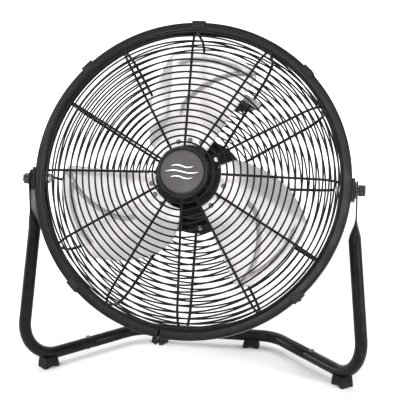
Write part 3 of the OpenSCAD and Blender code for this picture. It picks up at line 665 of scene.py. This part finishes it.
def make_stand():
    tube = side_tube()
    piece("stand_arm_right", tube, ON_FLOOR, "stand", "stand_paint", ["right_stand_tube"])
    piece("stand_arm_left", mirrored(tube), ON_FLOOR, "stand", "stand_paint", ["left_stand_tube"])
    far = [(-x, y, z) for x, y, z in (REAR_CORNER, JOINT_AT)]
    path = bent_path([JOINT_AT, REAR_CORNER, far[0], far[1]], [0, REAR_BEND, REAR_BEND, 0], 18)
    piece("stand_rear_tube", sweep(path, TUBE_R, 40, end_round=0.5), ON_FLOOR, "stand", "stand_paint",
          ["rear_base_tube"])
    along = (Vector(REAR_CORNER) - Vector(CORNER)).normalized()
    spot = Vector(JOINT_AT) - along * JOINT_SCREW_BACK
    upright = Matrix.Rotation(-math.pi / 2, 4, "X")
    screws = []
    for side in (-1, 1):
        at = Matrix.Translation((side * spot.x, spot.y, spot.z + TUBE_R))
        screws.append(moved(screw(4.5, 2.8, 2.5, 2 * TUBE_R + 1), at @ upright))
    made = piece("stand_joint_screws", joined(*screws), ON_FLOOR, "stand", "zinc_steel",
                 ["base_joint_screws"])
    made.data.materials[0] = plated("dull_screw_steel", (0.12, 0.12, 0.12), 0.45)


# ---------- fasteners, drawn with the head towards -Y and the shank towards +Y ----------

def button(head_r, head_h, shank_r, length, tail_h=0.0, tail_r=0.0):
    """A rivet or a smooth-headed screw, with an upset tail if one is asked for."""
    outline = [(0, -head_h), (head_r * 0.35, -head_h * 0.97), (head_r * 0.7, -head_h * 0.78),
               (head_r * 0.92, -head_h * 0.42), (head_r, -head_h * 0.1), (head_r * 0.985, 0), (shank_r, 0)]
    if tail_h:
        outline += [(shank_r, length), (tail_r, length), (tail_r, length + tail_h * 0.3),
                    (tail_r * 0.75, length + tail_h * 0.85), (0, length + tail_h)]
    else:
        outline += [(shank_r, length - 0.4), (shank_r - 0.4, length), (0, length)]
    return dome(outline, 28)


def screw(head_r, head_h, shank_r, length, steps=48):
    """A pan-head screw with a cross recess."""
    shares = (0.10, 0.20, 0.30, 0.40, 0.50, 0.58, 0.66, 0.78, 0.90, 1.0)
    points, faces = [Vector((0, -head_h * 0.45, 0))], []
    for share in shares:
        for k in range(steps):
            t = math.tau * k / steps
            x, z = share * math.cos(t), share * math.sin(t)
            height = head_h * (1.0 if share < 0.5 else math.sqrt(max(0.02, 1 - ((share - 0.5) / 0.5) ** 2)))
            if min(abs(x), abs(z)) < 0.13 and share < 0.6:
                height *= 0.45
            points.append(Vector((x * head_r, -height, z * head_r)))
    for r, y in ((head_r, 0), (shank_r, 0), (shank_r, length)):
        points += [Vector((r * math.cos(math.tau * k / steps), y, r * math.sin(math.tau * k / steps)))
                   for k in range(steps)]
    rows = len(shares) + 3
    for k in range(steps):
        after = (k + 1) % steps
        faces.append((0, 1 + k, 1 + after))
        for j in range(rows - 1):
            a, b = 1 + j * steps, 1 + (j + 1) * steps
            faces.append((a + k, b + k, b + after, a + after))
    faces.append(tuple(1 + (rows - 1) * steps + k for k in range(steps)))
    return points, faces


def make_fasteners():
    def at(angle, radius, y):
        return at_angle(angle) @ Matrix.Translation((radius, y, 0))

    ears = [moved(screw(4.8, 2.6, 2.5, EAR_SHEET + 5), at(a, EAR_R, PLATE_Y - EAR_SHEET))
            for a in EAR_ANGLES]
    piece("motor_mount_screws", joined(*ears), HEAD, "head", "zinc_steel", ["mount_plate_screws"])

    turn = Matrix.Rotation(math.pi, 4, "X")
    backs = [moved(screw(3.6, 2.0, 1.8, 32), at(a, HOUSING_SCREW_R, HOUSING_BACK) @ turn)
             for a in HOUSING_SCREW_ANGLES]
    piece("housing_back_screws", joined(*backs), HEAD, "head", "zinc_steel", ["housing_screws"])

    outward = Matrix.Rotation(math.pi / 2, 4, "Z")
    clips = [moved(screw(3.6, 2.2, 1.8, 8), at(a, HOOP_R + CLEARANCE + CLIP_SHEET, 0) @ outward)
             for a in CLIP_ANGLES]
    piece("rim_clip_screws", joined(*clips), HEAD, "head", "dark_screw", ["clip_screws"])

    rivets = []
    for blade in range(3):
        for step in (-1, 0, 1):
            turned = Matrix.Rotation(math.radians(-120 * blade + RIVET_STEP * step), 4, "Y")
            spot = turned @ Matrix.Translation((0, SPIDER_Y - BLADE_SHEET, RIVET_R))
            rivets.append(moved(button(4.4, 1.6, 2.4, BLADE_SHEET + SPIDER_SHEET, 1.6, 4.4), spot))
    made = piece("blade_root_rivets", joined(*rivets), HEAD, "rotor", "zinc_steel", ["blade_rivets"])
    made.data.materials[0] = plated("dull_rivet_steel", (0.20, 0.20, 0.20), 0.5)


# ---------- hoop, clips and guards ----------

def make_hoop():
    inner = HOOP_R - HOOP_FACE
    band = rounded([
        (inner, -HOOP_HALF), (HOOP_R, -HOOP_HALF), (HOOP_R, HOOP_HALF), (inner, HOOP_HALF),
        (inner, HOOP_HALF - HOOP_SHEET), (HOOP_R - HOOP_SHEET, HOOP_HALF - HOOP_SHEET),
        (HOOP_R - HOOP_SHEET, HOOP_SHEET - HOOP_HALF), (inner, HOOP_SHEET - HOOP_HALF)
    ], 4.0, 5)
    open_turn = math.degrees(CLAMP_GAP / HOOP_R)
    hoop = lathe(band, 240, CLAMP_ANGLE + open_turn / 2, 360 - open_turn)
    lugs = []
    for side in (-1, 1):
        z, half = side * (CLAMP_GAP + LUG_SHEET) / 2, LUG_SHEET / 2
        low, high = (HOOP_R - 1, -LUG_HALF, z - half), (HOOP_R + LUG_REACH, LUG_HALF, z + half)
        lugs.append(moved(bevelled(box_shape(low, high), 0.9, 3), at_angle(CLAMP_ANGLE)))
    piece("rim_band", joined(hoop, *lugs), HEAD, "head", "hoop_paint", ["rim_hoop"])

    out = HOOP_HALF + CLEARANCE + CLIP_SHEET
    near, far = HOOP_R + CLEARANCE, HOOP_R + CLEARANCE + CLIP_SHEET
    lip = HOOP_R - CLIP_REACH
    clip = [(lip, -out), (far, -out), (far, out), (lip, out), (lip, out - CLIP_SHEET),
            (near, out - CLIP_SHEET), (near, CLIP_SHEET - out), (lip, CLIP_SHEET - out)]
    clips = [bevelled(lathe(rounded(clip, 1.6, 3), 8, a - CLIP_SPAN / 2, CLIP_SPAN), 0.45, 2, 60)
             for a in CLIP_ANGLES]
    piece("rim_clip_set", joined(*clips), HEAD, "head", "clip_plastic", ["rim_clips"])


def guard_points(guard):
    """The centres of a guard's rings as (radius, depth), each with the direction from its ribs."""
    top, start, slope = guard["top"], guard["start"], math.radians(guard["slope"])

    def depth(r):
        return top - (r - start) * math.tan(slope)

    found = []
    for r in guard["rings"]:
        found.append((r, depth(r - STACK * math.sin(slope)) + STACK * math.cos(slope), slope))
    centre_r = SIDE_R - RIB_BEND
    centre_y = depth(centre_r + RIB_BEND * math.sin(slope)) - RIB_BEND * math.cos(slope)
    for k in range(EDGE_RINGS):
        a = slope + math.radians(k * EDGE_STEP)
        reach = RIB_BEND + STACK
        found.append((centre_r + reach * math.sin(a), centre_y + reach * math.cos(a), a))
    return found


def make_front_ribs():
    """The front guard's bent ribs: slimmer wires than the CAD's, still touching the rings outside them."""
    slope, shift = math.radians(FRONT_FACE["slope"]), RIB_R - RIB_SKIN_R
    top, shoulder = FRONT_FACE["top"] + shift / math.cos(slope), SIDE_R + shift
    corner_y = top - (shoulder - FRONT_FACE["start"]) * math.tan(slope)
    path = bent_path([(FRONT_FACE["start"], -top, 0), (shoulder, -corner_y, 0), (shoulder, -RIB_END_Y, 0)],
                     [0, RIB_BEND + shift, 0], 24)
    path.insert(1, path[0].lerp(path[1], 0.02))
    path.insert(-1, path[-1].lerp(path[-2], 0.05))
    rib = sweep(path, RIB_SKIN_R, 20, (0, 0, 1), end_round=0.5)
    ribs = [moved(rib, at_angle(i * 360 / RIB_COUNT)) for i in range(RIB_COUNT)]
    piece("front_guard_ribs", joined(*ribs), HEAD, "head", "guard_paint", ["front_ribs"])


def make_welds(name, guard):
    """The small squashed nuggets where each ring is welded to each rib."""
    nugget = dome([(0, -0.95), (0.9, -0.8), (1.7, -0.35), (1.9, 0.0),
                   (1.7, 0.35), (0.9, 0.8), (0, 0.95)], 10)
    found = []
    for r, depth, a in guard_points(guard):
        spot = Vector((r - RING_R * math.sin(a), guard["side"] * (depth - RING_R * math.cos(a)), 0))
        lean = Matrix.Rotation(-guard["side"] * a, 4, "Z")
        for i in range(RIB_COUNT):
            size = random.uniform(0.85, 1.15)
            found.append(moved(nugget, at_angle(i * 360 / RIB_COUNT) @ Matrix.Translation(spot) @ lean
                               @ Matrix.Scale(size, 4)))
    piece(name, joined(*found), HEAD, "head", "guard_paint")


# ---------- badge ----------

def wave_bar(length, rise, thick, z, steps=40):
    """A thin raised bar along X whose ends taper and whose middle waves gently."""
    rings = []
    for k in range(steps + 1):
        t = k / steps
        x = (t - 0.5) * length
        middle = z + rise * math.sin(math.tau * t)
        half = thick / 2 * math.sin(math.pi * min(1.0, max(0.02, t))) ** 0.5
        rings.append([Vector((x, 0, middle - half)), Vector((x, -0.45, middle - half * 0.7)),
                      Vector((x, -0.45, middle + half * 0.7)), Vector((x, 0, middle + half))])
    return skin(rings)


def make_badge():
    inner = BADGE_R - BADGE_LIP
    cup = rounded([
        (BADGE_HOLE_R, BADGE_BACK - 2), (inner, BADGE_BACK - 2), (inner + 0.2, BADGE_FRONT + 0.9),
        (inner + 2.6, BADGE_FRONT), (BADGE_R - 1.8, BADGE_FRONT), (BADGE_R, BADGE_FRONT + 2.2),
        (BADGE_R, BADGE_BACK), (BADGE_HOLE_R, BADGE_BACK)
    ], 1.2, 4)
    piece("badge_shell", lathe(cup, 128), HEAD, "head", "badge_rim", ["badge_cup"])
    edge = inner - CLEARANCE
    face = dome([(0, BADGE_FRONT + 0.7), (edge * 0.5, BADGE_FRONT + 0.8), (edge * 0.9, BADGE_FRONT + 1.15),
                 (edge - 0.5, BADGE_FRONT + 1.3), (edge, BADGE_FRONT + 1.7), (edge, BADGE_FRONT + 3),
                 (0, BADGE_FRONT + 3)], 128)
    piece("badge_face_disc", face, HEAD, "head", "badge_face", ["badge_disc"])
    front = Matrix.Translation((0, BADGE_FRONT + 0.95, 0))
    bars = [moved(wave_bar(length, 1.9, 2.5, z), front) for length, z in ((36, 9.0), (54, 0.0), (36, -9.0))]
    mark = piece("badge_wave_mark", joined(*bars), HEAD, "head", "badge_face")
    mark.data.materials[0] = rolled_metal("badge_silver_print", (0.86, 0.84, 0.85), 0.45,
                                          (200, 200, 200), 0.02)


# ---------- rotor ----------

def lead_edge(r):
    """The leading edge's angle at a radius, in degrees."""
    out = max(0.0, (r - LEAD_TURN_R) / (TIP_R - LEAD_TURN_R))
    return LEAD_ROOT - (LEAD_ROOT - LEAD_TIP) * out ** 1.1


def trail_edge(r):
    """The trailing edge's angle at a radius, in degrees; its outer corner is rounded off."""
    return TRAIL + 9 * max(0.0, (r - TIP_R + TRAIL_CORNER) / TRAIL_CORNER) ** 2


def blade_height(x, r):
    """The sheet's middle surface: flat at its root, then pitched, with a bent leading flange."""
    past = CREASE_X - x
    bend = CREASE_SOFT * math.log1p(math.exp(past / CREASE_SOFT)) if past < 40 else past
    return BLADE_Y + eased((r - PAD_R) / BLEND_LENGTH) * (-PITCH * x + (FLANGE + PITCH) * bend)


# Two pressed stiffening ribs run out across a blade, as (radius, angle) points
PRESSED_HALF, PRESSED_HEIGHT = 3.8, 4.4
PRESSED_RIBS = [
    [(105, 100), (130, 94), (159, 81), (185, 69), (205, 57)],
    [(196, 99), (199, 90), (199, 80), (197, 70), (192, 62)],
]


def smooth_line(points, steps=16):
    """A Catmull-Rom line through (radius, angle) points, as flat x, z points."""
    flat = [Vector((r * math.cos(math.radians(a)), r * math.sin(math.radians(a)))) for r, a in points]
    padded = [flat[0] * 2 - flat[1]] + flat + [flat[-1] * 2 - flat[-2]]
    line = []
    for i in range(1, len(padded) - 2):
        a, b, c, d = padded[i - 1:i + 3]
        for k in range(steps):
            t = k / steps
            line.append(0.5 * (2 * b + (c - a) * t + (2 * a - 5 * b + 4 * c - d) * t * t
                               + (3 * b - a - 3 * c + d) * t ** 3))
    return line + [flat[-1]]


def pressed(lines, x, z):
    """How far a point of the blade stands out on its pressed ribs."""
    here, best = Vector((x, z)), 0.0
    for line in lines:
        for i, point in enumerate(line):
            away = (here - point).length
            if away < PRESSED_HALF:
                fade = min(1.0, min(i, len(line) - 1 - i) / 6)
                best = max(best, fade * (0.5 + 0.5 * math.cos(math.pi * away / PRESSED_HALF)))
    return best * PRESSED_HEIGHT


def blade_shape(rows=110, columns=100, root_r=54.0):
    lines = [smooth_line(rib) for rib in PRESSED_RIBS]
    middle = []
    for j in range(rows + 1):
        r = root_r + (TIP_R - root_r) * j / rows
        row = []
        for i in range(columns + 1):
            a = math.radians(lead_edge(r) + (trail_edge(r) - lead_edge(r)) * i / columns)
            x, z = r * math.cos(a), r * math.sin(a)
            row.append(Vector((x, blade_height(x, r) - pressed(lines, x, z), z)))
        middle.append(row)
    lift = Vector((0, BLADE_SHEET / 2, 0))
    width, count = columns + 1, (rows + 1) * (columns + 1)
    points = [p - lift for row in middle for p in row] + [p + lift for row in middle for p in row]
    faces = []
    for j in range(rows):
        for i in range(columns):
            a = j * width + i
            quad = (a, a + 1, a + width + 1, a + width)
            faces += [quad, tuple(count + k for k in reversed(quad))]
    rim = list(range(width)) + [(j + 1) * width - 1 for j in range(1, rows + 1)]
    rim += [rows * width + i for i in reversed(range(columns))]
    rim += [j * width for j in reversed(range(1, rows))]
    faces += [(rim[k], rim[(k + 1) % len(rim)], rim[(k + 1) % len(rim)] + count, rim[k] + count)
              for k in range(len(rim))]
    return points, faces


def make_blades():
    blade = blade_shape()
    for number in (1, 2, 3):
        turned = moved(blade, at_angle((number - 1) * 120))
        piece(f"fan_blade_{number}", turned, HEAD, "rotor", "blade_aluminium", [f"blade_{number}"])


# ---------- knobs and handle ----------

def lobed_knob():
    """A six-lobed grip along X, with a rounded outer edge and a shallow dish in its face."""
    stations = [(0, 0.93), (0.5, 1.0), (4, 1.0), (9.6, 0.97), (11.2, 0.92), (11.8, 0.84),
                (KNOB_LENGTH, 0.74), (11.7, 0.60), (11.1, 0.52)]
    rings = []
    for x, scale in stations:
        ring = []
        for k in range(96):
            t = math.tau * k / 96
            lobe = math.cos(KNOB_LOBES * t)
            depth = LOBE_DEPTH if x < 11.9 else 0.6 * LOBE_DEPTH
            r = KNOB_MEAN_R + depth * math.copysign(abs(lobe) ** 0.8, lobe)
            ring.append(Vector((KNOB_IN + x, r * scale * math.sin(t), r * scale * math.cos(t))))
        rings.append(ring)
    return skin(rings)


def make_knobs():
    grip = lobed_knob()
    piece("tilt_knob_right", grip, AT_PIVOT, "right_knob", "knob_plastic", ["right_knob_grip"], 50)
    piece("tilt_knob_left", mirrored(grip), AT_PIVOT, "left_knob", "knob_plastic", ["left_knob_grip"], 50)


def make_speed_marks():
    """Four raised, printed bars round the speed knob, for off and three speeds, and one on its pointer."""
    marks = []
    for k in range(4):
        low = (SPEED_KNOB_R + 4, HOUSING_BACK - 0.2, -0.8)
        high = (SPEED_KNOB_R + 10, HOUSING_BACK + 0.5, 0.8)
        marks.append(moved(bevelled(box_shape(low, high), 0.25), at_angle(90 + SPEED_STEP * k)))
    pointer_y = HOUSING_BACK + CLEARANCE + SPEED_KNOB_HEIGHT
    low, high = (-0.8, pointer_y - 0.4, 4), (0.8, pointer_y + 0.3, SPEED_KNOB_R - 3.5)
    pointer = bevelled(box_shape(low, high), 0.25)
    fixed = piece("speed_mark_set", joined(*marks), HEAD, "head", "housing_plastic")
    turning = piece("speed_pointer_mark", pointer, HEAD, "speed_knob", "switch_knob")
    fixed.data.materials[0] = moulded("speed_mark_print", (0.55, 0.55, 0.56), 0.5, 900, 0.08)
    turning.data.materials[0] = fixed.data.materials[0]


def make_handle():
    foot_x = HANDLE_REACH * math.cos(math.radians(HANDLE_ANGLE))
    foot_z = HANDLE_REACH * math.sin(math.radians(HANDLE_ANGLE))
    slope = math.tan(math.radians(REAR_FACE["slope"]))
    inner_r = HANDLE_REACH - HANDLE_PAD.x
    pad_y = REAR_FACE["top"] - (inner_r - REAR_FACE["start"]) * slope + STACK + RING_R + 0.2
    grip_y = pad_y + HANDLE_RISE
    corners = [(foot_x, pad_y, foot_z), (foot_x, grip_y, foot_z),
               (-foot_x, grip_y, foot_z), (-foot_x, pad_y, foot_z)]
    path = bent_path(corners, [0, HANDLE_BEND, HANDLE_BEND, 0], 16)
    shapes = [sweep(path, HANDLE_GRIP_R, 36, (0, 0, 1))]
    for side in (-1, 1):
        low = (-HANDLE_PAD.x, pad_y, -HANDLE_PAD.z)
        high = (HANDLE_PAD.x, pad_y + HANDLE_PAD.y, HANDLE_PAD.z)
        pad = bevelled(box_shape(low, high), 1.3, 3)
        placed = moved(pad, Matrix.Translation((foot_x, 0, foot_z)) @ at_angle(HANDLE_ANGLE))
        shapes.append(placed if side > 0 else mirrored(placed))
    piece("rear_carry_handle", joined(*shapes), HEAD, "head", "handle_grip", ["carry_handle"])


make_stand()
make_hoop()
make_fasteners()
make_front_ribs()
make_welds("front_guard_welds", FRONT_FACE)
make_welds("rear_guard_welds", REAR_FACE)
make_badge()
make_blades()
make_knobs()
make_speed_marks()
make_handle()
dress_cad_nodes()
floor()
studio()
camera()

bpy.context.view_layer.update()
